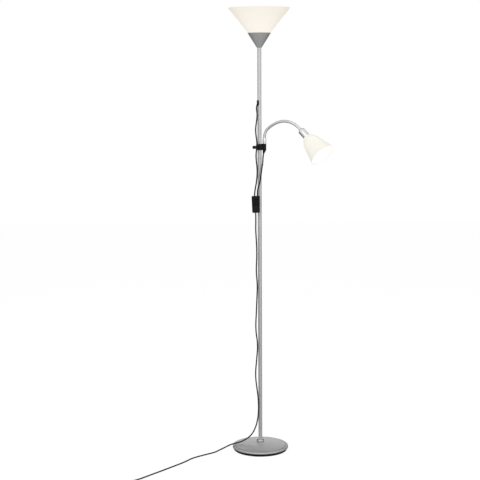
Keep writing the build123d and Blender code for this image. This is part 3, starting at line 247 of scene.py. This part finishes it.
finishes = {
    "pole": silverPaint("poleLacquer", 0.68),
    "base": baseLacquerAndShade("baseLacquerAndShade", 0.62, 0.45, 0.42,
                        # the pressed ring's painted shade, then the black band at the rim's foot,
                        # partly painted shade
                        {"radius": 0.1062, "width": 0.0028, "dark": 0.65},
                        {"low": 0.0100, "high": 0.0125, "shade": 0.02}),
    "cup": silverPaint("cupLacquer", 0.58, 0.5, 0.40),
    "collar": chromePlate("collarPlate", 0.46, 0.20),
    "ferrule": chromePlate("ferrulePlate", 0.74, 0.12),
    "cap": chromePlate("capChrome", 0.72, 0.08),
    "neck": chromePlate("neckNickel", 0.72, 0.22),
    "black": blackPlastic("blackPlastic", 0.005, 0.46, 2400),
    "rocker": blackPlastic("rockerPlastic", 0.008, 0.24, 900),
    "sheath": blackPlastic("cordSheath", 0.012, 0.42, 1200),
    "holder": blackPlastic("holderPlastic", 0.55, 0.35, 900),
    "zinc": plainMetal("zincPlate", (0.55, 0.56, 0.58), 0.28),
    "brass": plainMetal("brass", (0.66, 0.50, 0.24), 0.26),
    "iron": plainMetal("castIron", (0.09, 0.09, 0.095), 0.6),
    # the shades' painted glow is centred on their bulbs
    "topOpal": litOpal("upperOpal", 0.56, ((0.88, 0.80, 0.68, 1), (1.0, 0.93, 0.81, 1)),
                       (0, 0, 1.745)),
    "bellOpal": litOpal("bellOpal", 0.50, ((0.86, 0.82, 0.73, 1), (1.0, 0.96, 0.86, 1)),
                        (0.197, -0.139, 1.279)),
    "bulb": litOpal("bulbGlow", 0.8, ((1.0, 0.9, 0.72, 1), (1.0, 0.93, 0.8, 1)), (0, 0, 1.75)),
}

nodeFinish = {
    "pole": ["pole_section_1", "pole_section_2", "pole_section_3", "pole_section_4"],
    "base": ["base_cover"],
    "cup": ["top_cup"],
    "collar": ["base_collar", "arm_ferrule"],
    "cap": ["head_cap"],
    "neck": ["neck_segment_1", "neck_segment_2", "neck_segment_3", "neck_segment_4",
             "neck_segment_5", "plug_pins"],
    "black": ["base_tray", "cord_grommet", "clamp_liner", "clamp_body", "clamp_pad", "clamp_knob",
              "lead_bush", "switch_front_shell", "switch_back_shell", "plug_body"],
    "rocker": ["rocker_left", "rocker_right"],
    "sheath": ["pole_lead", "upper_cord", "reading_cord", "mains_cord", "mains_coil"],
    "holder": ["top_lampholder", "top_shade_ring", "head_lampholder", "head_shade_ring"],
    "zinc": ["tray_screws", "base_washer", "base_nut", "base_stud", "pole_foot_bush",
             "pole_top_bush", "pole_couplers", "top_nipple", "top_nipple_nut", "clamp_grub_screw",
             "clamp_screw", "head_nipple", "head_nut", "switch_screws", "rocker_pins",
             "top_bulb_cap", "head_bulb_cap"],
    "brass": ["clamp_insert", "switch_contacts"],
    "iron": ["base_weight"],
    "topOpal": ["top_shade"],
    "bellOpal": ["head_shade"],
    "bulb": ["top_bulb_glass", "head_bulb_glass"],
}
for finish, names in nodeFinish.items():
    for name in names:
        mesh = nodes[name].data
        mesh.materials.clear()
        mesh.materials.append(finishes[finish])
print("materials made")


# cords: each follows the points of its route in the part's source, in metres; over the base and
# down to the floor the mains cord's points are moved a little
cord = {"radius": 0.00275, "order": 3, "steps": 8, "roundness": 5}


def cordCurve(name, points, radius):
    curve = bpy.data.curves.new(name, "CURVE")
    curve.dimensions = "3D"
    spline = curve.splines.new("NURBS")
    spline.points.add(len(points) - 1)
    for target, point in zip(spline.points, points):
        target.co = (*point, 1)
    spline.order_u = cord["order"]
    spline.use_endpoint_u = True
    spline.resolution_u = cord["steps"]
    curve.bevel_depth = radius
    curve.bevel_resolution = cord["roundness"]
    curve.use_fill_caps = True
    curve.materials.append(finishes["sheath"])
    made = bpy.data.objects.new(name, curve)
    bpy.context.scene.collection.objects.link(made)
    return made


upperRoute = [
    (-0.0060, -0.0045, 1.4275), (-0.0107, -0.0080, 1.4173), (-0.0119, -0.0091, 1.4040),
    (-0.0089, -0.0109, 1.3830), (-0.0108, -0.0140, 1.3600), (-0.0158, -0.0142, 1.3280),
    (-0.0149, -0.0150, 1.3020), (-0.0102, -0.0180, 1.2720), (-0.0114, -0.0176, 1.2480),
    (-0.0146, -0.0154, 1.2240), (-0.0136, -0.0158, 1.1970), (-0.0098, -0.0176, 1.1680),
    (-0.0102, -0.0174, 1.1340), (-0.0144, -0.0180, 1.1020), (-0.0211, -0.0195, 1.0689),
    (-0.0207, -0.0195, 1.0519)]
readingRoute = [
    (0.0168, -0.0018, 1.2274), (0.0138, -0.0037, 1.2155), (0.0129, -0.0104, 1.1900),
    (0.0082, -0.0146, 1.1620), (0.0046, -0.0160, 1.1340), (0.0008, -0.0176, 1.1100),
    (-0.0076, -0.0185, 1.0860), (-0.0095, -0.0195, 1.0691), (-0.0091, -0.0195, 1.0521)]
floorHeight = cord["radius"]
mainsRoute = [
    (-0.0166, -0.0195, 0.9920), (-0.0159, -0.0195, 0.9600), (-0.0170, -0.0176, 0.9150),
    (-0.0132, -0.0156, 0.8620), (-0.0122, -0.0134, 0.8060), (-0.0157, -0.0120, 0.7500),
    (-0.0102, -0.0132, 0.6920), (-0.0124, -0.0128, 0.6400), (-0.0148, -0.0120, 0.5840),
    (-0.0189, -0.0114, 0.5080), (-0.0094, -0.0126, 0.4460), (-0.0134, -0.0128, 0.3920),
    (-0.0207, -0.0130, 0.3180), (-0.0140, -0.0126, 0.2620), (-0.0084, -0.0126, 0.2180),
    (-0.0072, -0.0128, 0.1720), (-0.0100, -0.0120, 0.1340), (-0.0180, -0.0110, 0.0980),
    (-0.0355, -0.0120, 0.0630), (-0.0640, -0.0115, 0.0408), (-0.0905, -0.0100, 0.0292),
    (-0.1180, -0.0048, 0.0222), (-0.1385, 0.0005, 0.0105), (-0.1550, -0.0020, floorHeight),
    (-0.1690, -0.0235, floorHeight), (-0.1865, -0.0550, floorHeight),
    (-0.2290, -0.0880, floorHeight),
    (-0.2790, -0.1310, floorHeight), (-0.3060, -0.1800, floorHeight),
    (-0.3470, -0.2310, floorHeight), (-0.3930, -0.2890, floorHeight),
    (-0.4370, -0.3420, floorHeight), (-0.4790, -0.3940, floorHeight),
    (-0.5350, -0.4348, floorHeight)]

# the put-away rest of the mains cord: two layers of half turns, in and out again
coil = {"centre": (-0.550, -0.497), "azimuth": 130.0, "outer": 0.038, "pitch": 0.006,
        "halfTurns": 4, "perHalf": 8, "settle": 0.004, "leave": 0.022, "dipReach": 0.0106,
        "dipFall": 0.0019, "tail": 0.0055}
coilSide = Vector((cos(radians(coil["azimuth"])), sin(radians(coil["azimuth"])), 0))
coilWay = Vector((-coilSide.y, coilSide.x, 0))


def onCoil(aside, along, height):
    return Vector((*coil["centre"], floorHeight + height)) + coilSide * aside + coilWay * along


coilRadii = [coil["outer"] - step * coil["pitch"] / 2 for step in range(coil["halfTurns"] + 1)]
coilRadii += coilRadii[-2::-1]
aside, side, height = coil["outer"], 1, 0.0
coilRoute = [onCoil(aside, -coil["tail"], 0)]
spread = 1 / (0.75 + 0.25 * cos(pi / coil["perHalf"]))  # the spline cuts inside its points
for number, radius in enumerate(coilRadii):
    middle = aside - side * radius
    climbs = number == coil["halfTurns"]
    for step in range(coil["perHalf"]):
        turn = pi * (step + 0.5) / coil["perHalf"]
        rise = coil["pitch"] * (1 - cos(turn)) / 2 if climbs else 0.0
        coilRoute.append(onCoil(middle + side * cos(turn) * radius * spread,
                                side * sin(turn) * radius * spread, height + rise))
    aside = middle - side * radius
    side = -side
    height += coil["pitch"] if climbs else 0.0
for reach, drop in ((coil["settle"], 0), (0.5 * coil["leave"], 0), (coil["leave"], 0),
                    (coil["leave"] + coil["dipReach"], coil["dipFall"] / 2),
                    (coil["leave"] + 2 * coil["dipReach"], coil["dipFall"]),
                    (coil["leave"] + 2 * coil["dipReach"] + coil["tail"], coil["dipFall"])):
    coilRoute.append(onCoil(aside, side * reach, height - drop))

upperCord = cordCurve("upperCord", upperRoute, cord["radius"])
mainsCord = cordCurve("mainsCord", mainsRoute + [tuple(point) for point in coilRoute],
                      cord["radius"])
for piece, replaced in ((upperCord, ["upper_cord"]), (mainsCord, ["mains_cord", "mains_coil"])):
    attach(piece, "stand")
    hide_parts(*replaced)

# the reading light's cord stretches with the clamp, so it is a mesh
readingCurve = cordCurve("readingCurve", readingRoute, 0)
readingCurve.data.use_fill_caps = False
bpy.context.view_layer.update()
line = bpy.data.meshes.new_from_object(readingCurve)
readingCurve.data.bevel_depth = cord["radius"]
readingCurve.data.use_fill_caps = True
bpy.context.view_layer.update()
readingMesh = bpy.data.meshes.new_from_object(readingCurve)
bpy.data.objects.remove(readingCurve)
readingCord = bpy.data.objects.new("readingCord", readingMesh)
bpy.context.scene.collection.objects.link(readingCord)
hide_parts("reading_cord")
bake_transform(readingCord)
print("cords laid")

# how finely the pieces are made
meshing = {"weld": 1e-6, "cadWeld": 2e-6, "flat": 0.8, "sharp": 32, "bevelSteps": 2,
           "turnSteps": 96, "ringSteps": 28, "cornerSteps": 3, "crease": 35, "neckCrease": 60,
           "millimetre": 0.001}


def finished(name, shape, body, slot, finish, *replaced, crease=meshing["crease"]):
    mesh = bpy.data.meshes.new(name)
    shape.to_mesh(mesh)
    shape.free()
    mesh.materials.append(finish)
    mesh.shade_smooth()
    mesh.set_sharp_from_angle(angle=radians(crease))
    piece = bpy.data.objects.new(name, mesh)
    bpy.context.scene.collection.objects.link(piece)
    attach(piece, body)
    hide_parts(*replaced)
    return piece


def turned(corners, place=Matrix(), steps=meshing["turnSteps"]):
    # corners of a closed section as (radius, height, rounding), in millimetres
    shape = bmesh.new()
    scale = meshing["millimetre"]
    points = [shape.verts.new((radius * scale, 0, height * scale)) for radius, height, _ in corners]
    shape.faces.new(points)
    for point, (_, _, rounding) in zip(points, corners):
        if rounding:
            bmesh.ops.bevel(shape, geom=[point], offset=rounding * scale, affect="VERTICES",
                            segments=int((1 + rounding ** 0.5) * meshing["cornerSteps"]),
                            profile=0.5, material=-1)
    bmesh.ops.delete(shape, geom=shape.faces[:], context="FACES_ONLY")
    bmesh.ops.spin(shape, geom=shape.verts[:] + shape.edges[:], cent=(0, 0, 0), axis=(0, 0, 1),
                   angle=2 * pi, steps=steps, use_merge=True)
    bmesh.ops.remove_doubles(shape, verts=shape.verts[:], dist=meshing["weld"])
    bmesh.ops.recalc_face_normals(shape, faces=shape.faces[:])
    bmesh.ops.transform(shape, matrix=place, verts=shape.verts[:])
    return shape


def ringed(rings):
    # rings as (place, radius), joined one to the next and closed at both ends
    shape = bmesh.new()
    loops = []
    for place, radius in rings:
        circle = bmesh.ops.create_circle(shape, segments=meshing["ringSteps"], radius=radius,
                                         matrix=place)
        loops.append(list({edge for point in circle["verts"] for edge in point.link_edges}))
    for here, there in zip(loops, loops[1:]):
        bmesh.ops.bridge_loops(shape, edges=here + there)
    bmesh.ops.edgeloop_fill(shape, edges=loops[0])
    bmesh.ops.edgeloop_fill(shape, edges=loops[-1])
    bmesh.ops.recalc_face_normals(shape, faces=shape.faces[:])
    return shape


def softened(node, width):
    # a copy of a CAD solid with its edges rounded, as a mould leaves them
    shape = bmesh.new()
    shape.from_mesh(nodes[node].data)
    bmesh.ops.remove_doubles(shape, verts=shape.verts[:], dist=meshing["cadWeld"])
    bmesh.ops.dissolve_limit(shape, angle_limit=radians(meshing["flat"]), verts=shape.verts[:],
                             edges=shape.edges[:])
    sharp = [edge for edge in shape.edges
             if edge.calc_face_angle(0) > radians(meshing["sharp"])]
    bmesh.ops.bevel(shape, geom=sharp, offset=width, affect="EDGES",
                    segments=meshing["bevelSteps"], profile=0.5, material=-1,
                    clamp_overlap=True)
    return shape


# base: pressed steel cover with a ring pressed near its edge, and the collar at the pole's foot
base = {
    "steps": 160,
    "cover": [(114.4, 8.5, 0.4), (115.0, 12.0, 2.0), (114.6, 17.0, 3.6), (107.5, 18.45, 0.3),
              (106.6, 17.95, 0.5), (105.7, 18.9, 0.3), (63.75, 30.26, 42.0), (17.0, 32.5, 1.5),
              (5.1, 32.5, 0), (5.1, 31.3, 0), (17.0, 31.3, 0), (63.75, 29.06, 40.0),
              (110.0, 16.5, 1.0), (113.4, 15.4, 2.0), (113.8, 12.0, 1.0), (113.2, 8.5, 0.3)],
    "collar": [(8.1, 32.5, 0), (15.0, 32.5, 0.4), (15.0, 34.2, 0.8), (14.5, 40.2, 4.0),
               (10.5, 42.0, 0.6), (8.1, 42.0, 0.3)]}
finished("baseCover", turned(base["cover"], steps=base["steps"]), "stand", "silver_paint",
         finishes["base"], "base_cover")
finished("baseCollar", turned(base["collar"]), "stand", "silver_paint", finishes["collar"],
         "base_collar")

# upper light: a painted cup under a wide opal cone
upper = {
    "cupSteps": 128, "shadeSteps": 160,
    "cup": [(46.5, 1703.0, 0.5), (9.5, 1645.0, 1.2), (5.1, 1645.0, 0), (5.1, 1646.2, 0),
            (8.84, 1646.2, 0.5), (45.488, 1703.645, 0.5)],
    "shade": [(124.5, 1800.0, 0.9), (33.96, 1690.0, 1.6), (20.85, 1690.0, 0), (20.85, 1692.0, 0),
              (33.02, 1692.0, 2.5), (122.96, 1801.27, 0.9)]}
finished("upperCup", turned(upper["cup"], steps=upper["cupSteps"]), "stand", "silver_paint",
         finishes["cup"], "top_cup")
finished("upperShade", turned(upper["shade"], steps=upper["shadeSteps"]), "stand", "opal",
         finishes["topOpal"], "top_shade")
print("base and upper light made")

# neck: five curved pieces with fine windings, each ending in the ball that the next turns on
neck = {"start": (0.0197, 0, 1.288), "azimuth": -38.0, "piece": 0.0435, "radius": 0.0055,
        "turns": (53, 15, 21, 24, 20), "windings": 24, "groove": 0.0003, "tail": 0.004,
        "winding": ((0.1, 1), (0.35, 0.15), (0.6, 0), (0.85, 0.15)),
        "socket": ((0.0056, 0.0015), (0.0050, 0.0029), (0.0040, 0.0042), (0.0030, 0.00496),
                   (0.0019, 0.0053)),
        "ball": ((0.0008, 0.00544), (0.0016, 0.00526), (0.0026, 0.00484), (0.0036, 0.00416),
                 (0.0045, 0.00316), (0.0051, 0.0020)),
        "bodies": ("arm", "neck_2", "neck_3", "neck_4", "head")}
neckWay = Vector((cos(radians(neck["azimuth"])), sin(radians(neck["azimuth"])), 0))
neckUp = Vector((0, 0, 1))


def neckDirection(heading):
    return neckWay * cos(heading) + neckUp * sin(heading)


def facing(place, direction):
    return Matrix.Translation(place) @ direction.to_track_quat("Z", "Y").to_matrix().to_4x4()


heading, pivot = pi / 2, Vector(neck["start"])
for number, (turn, body) in enumerate(zip(neck["turns"], neck["bodies"])):
    turn = radians(turn)
    bend = neck["piece"] / turn
    first, last = number == 0, number == len(neck["turns"]) - 1
    out = neckDirection(heading)
    if first:
        rings = [(facing(pivot - out * neck["tail"], out), neck["radius"])]
    else:
        rings = [(facing(pivot + out * along, out), radius) for along, radius in neck["socket"]]
    for winding in range(neck["windings"]):
        for part, depth in neck["winding"]:
            share = (winding + part) / neck["windings"]
            if share * neck["piece"] < neck["socket"][-1][0] and not first:
                continue
            toward = heading - turn * share
            place = (pivot + neckWay * bend * (sin(heading) - sin(toward))
                     + neckUp * bend * (cos(toward) - cos(heading)))
            rings.append((facing(place, neckDirection(toward)),
                          neck["radius"] - depth * neck["groove"]))
    end = heading - turn
    pivot = (pivot + neckWay * bend * (sin(heading) - sin(end))
             + neckUp * bend * (cos(end) - cos(heading)))
    heading = end
    out = neckDirection(heading)
    rings.append((facing(pivot, out), neck["radius"] - neck["groove"] * (not last)))
    if not last:
        rings += [(facing(pivot + out * along, out), radius) for along, radius in neck["ball"]]
    finished(f"neckPiece{number + 1}", ringed(rings), body, "neck_silver", finishes["neck"],
             f"neck_segment_{number + 1}", crease=meshing["neckCrease"])
headPlace = facing(pivot, out)
ferrule = {"section": [(3.0, 1247.0, 0), (5.0, 1247.0, 0.4), (5.0, 1264.3, 0), (7.4, 1264.3, 0.5),
                       (7.4, 1267.6, 0.3), (6.9, 1268.2, 0.2), (6.9, 1268.8, 0.2),
                       (7.4, 1269.4, 0.3), (7.4, 1282.0, 1.2), (6.3, 1288.0, 0.5),
                       (5.6, 1288.0, 0.2), (5.6, 1284.0, 0), (3.0, 1284.0, 0)],
           "place": Matrix.Translation((neck["start"][0], 0, 0)), "steps": 64}
finished("armFerrule", turned(ferrule["section"], ferrule["place"], steps=ferrule["steps"]),
         "arm", "chrome", finishes["ferrule"], "arm_ferrule")

# reading head: chrome cap and opal bell, with their heights from the neck's end
head = {
    "capSteps": 80, "bellSteps": 128,
    "cap": [(4.0, 0, 0), (14.0, 0, 8.0), (14.0, 40.0, 0.4), (13.0, 40.0, 0.3), (13.0, 1.0, 7.0),
            (4.0, 1.0, 0)],
    "bell": [(52.5, 141.0, 0.9), (32.02, 55.12, 21.4), (16.5, 40.3, 1.0), (12.8, 40.3, 0),
             (12.8, 42.8, 0), (15.49, 42.8, 0.5), (29.76, 56.43, 18.8), (49.93, 141.0, 0.9)]}
finished("headCap", turned(head["cap"], headPlace, steps=head["capSteps"]), "head", "chrome",
         finishes["cap"], "head_cap")
finished("bellShade", turned(head["bell"], headPlace, steps=head["bellSteps"]), "head", "opal",
         finishes["bellOpal"], "head_shade")
print("neck and reading head made")

# moulded parts: the CAD solids with rounded edges
moulded = (
    ("clampBody", "clamp_body", "clamp", 0.0008, "black"),
    ("clampKnob", "clamp_knob", "knob", 0.0005, "black"),
    ("leadBush", "lead_bush", "clamp", 0.0003, "black"),
    ("cordGrommet", "cord_grommet", "stand", 0.0005, "black"),
    ("switchFront", "switch_front_shell", "stand", 0.0003, "black"),
    ("switchBack", "switch_back_shell", "stand", 0.0003, "black"),
    ("rockerLeft", "rocker_left", "rocker_left", 0.0005, "rocker"),
    ("rockerRight", "rocker_right", "rocker_right", 0.0005, "rocker"),
    ("plugBody", "plug_body", "stand", 0.0005, "black"),
    ("baseTray", "base_tray", "stand", 0.0004, "black"))
for name, node, body, width, finish in moulded:
    slot = "rocker_plastic" if finish == "rocker" else "black_plastic"
    finished(name, softened(node, width), body, slot, finishes[finish], node)
print("moulded parts rounded")

# stage: a white studio, whose white is seen by the camera and by gloss and lights the lamp less
studio = {"skyLight": 0.34, "skySeen": 1.0, "floorHalf": 8, "floorShade": 0.93, "floorRough": 0.9,
          "floorGlow": 1.25, "floorGlowShare": 0.72}
sky = bpy.data.worlds.new("studio")
bpy.context.scene.world = sky
sky.use_nodes = True
skyTree = sky.node_tree
back = skyTree.nodes["Background"]
seen = skyTree.nodes.new("ShaderNodeLightPath")
ray = {}
for key, first, second in (("flat", "Is Camera Ray", "Is Glossy Ray"),
                           ("clear", "flat", "Is Transmission Ray")):
    both = skyTree.nodes.new("ShaderNodeMath")
    both.operation = "MAXIMUM"
    skyTree.links.new(ray.get(first, seen.outputs.get(first)), both.inputs[0])
    skyTree.links.new(seen.outputs[second], both.inputs[1])
    ray[key] = both.outputs[0]
level = skyTree.nodes.new("ShaderNodeMapRange")
level.inputs["To Min"].default_value = studio["skyLight"]
level.inputs["To Max"].default_value = studio["skySeen"]
skyTree.links.new(ray["clear"], level.inputs["Value"])
skyTree.links.new(level.outputs[0], back.inputs["Strength"])
back.inputs["Color"].default_value = (1, 1, 1, 1)

floorMesh = bpy.data.meshes.new("floor")
shape = bmesh.new()
bmesh.ops.create_grid(shape, x_segments=1, y_segments=1, size=studio["floorHalf"])
shape.to_mesh(floorMesh)
shape.free()
floor = bpy.data.objects.new("floor", floorMesh)
bpy.context.scene.collection.objects.link(floor)
floorPaint = Paint("floorWhite", Roughness=studio["floorRough"], Specular_IOR_Level=0.0,
                   Base_Color=grey(studio["floorShade"]))
shine = floorPaint.tree.nodes.new("ShaderNodeEmission")
shine.inputs["Strength"].default_value = studio["floorGlow"]
eyeRay = floorPaint.node("ShaderNodeLightPath", output="Is Camera Ray")
blendIn = floorPaint.tree.nodes.new("ShaderNodeMixShader")
floorPaint.tree.links.new((eyeRay * studio["floorGlowShare"]).socket, blendIn.inputs[0])
floorPaint.tree.links.new(floorPaint.surface.outputs[0], blendIn.inputs[1])
floorPaint.tree.links.new(shine.outputs[0], blendIn.inputs[2])
floorPaint.tree.links.new(blendIn.outputs[0],
                          floorPaint.tree.nodes["Material Output"].inputs["Surface"])
floorMesh.materials.append(floorPaint.material)

# dark cards left, right and above, beside the backdrop: only gloss sees them, and they draw
# the dark edges of round metal
cards = {"height": 1.4, "away": 1.85, "size": (2.4, 3.2), "shade": 0.07,
         "turns": (0, -90, 180), "slant": -45}
cardPaint = Paint("cardGrey", Specular_IOR_Level=0.0, Emission_Strength=cards["shade"],
                  Base_Color=grey(0), Emission_Color=grey(1))
for turn in cards["turns"]:
    shape = bmesh.new()
    place = (Matrix.Translation((0, 0, cards["height"])) @ Matrix.Rotation(radians(turn), 4, "Y")
             @ Matrix.Translation((cards["away"], cards["away"], 0))
             @ Matrix.Rotation(radians(cards["slant"]), 4, "Z")
             @ Matrix.Rotation(radians(90), 4, "X")
             @ Matrix.Diagonal((*cards["size"], 1, 1)))
    bmesh.ops.create_grid(shape, x_segments=1, y_segments=1, size=0.5, matrix=place)
    cardMesh = bpy.data.meshes.new("card")
    shape.to_mesh(cardMesh)
    shape.free()
    cardMesh.materials.append(cardPaint.material)
    card = bpy.data.objects.new("card", cardMesh)
    bpy.context.scene.collection.objects.link(card)
    card.visible_camera = card.visible_diffuse = card.visible_shadow = False
    card.visible_transmission = False

lamps = {
    "keyLamp": {"place": (-1.3, -3.4, 3.0), "aim": (0, 0, 1.1), "size": (1.4, 2.4), "power": 20},
    "fillLamp": {"place": (1.6, -2.9, 1.1), "aim": (0, 0, 0.6), "size": (1.2, 2.0), "power": 8},
    "topLamp": {"place": (0, 0.6, 4.2), "aim": (0, 0, 0), "size": (2.0, 2.0), "power": 8},
}
for name, lamp in lamps.items():
    light = bpy.data.lights.new(name, "AREA")
    light.shape = "RECTANGLE"
    light.size, light.size_y = lamp["size"]
    light.energy = lamp["power"]
    holder = bpy.data.objects.new(name, light)
    holder.location = lamp["place"]
    aim = Vector(lamp["aim"]) - Vector(lamp["place"])
    holder.rotation_euler = aim.to_track_quat("-Z", "Y").to_euler()
    bpy.context.scene.collection.objects.link(holder)
bpy.context.scene.view_settings.view_transform = "Standard"
print("stage set")
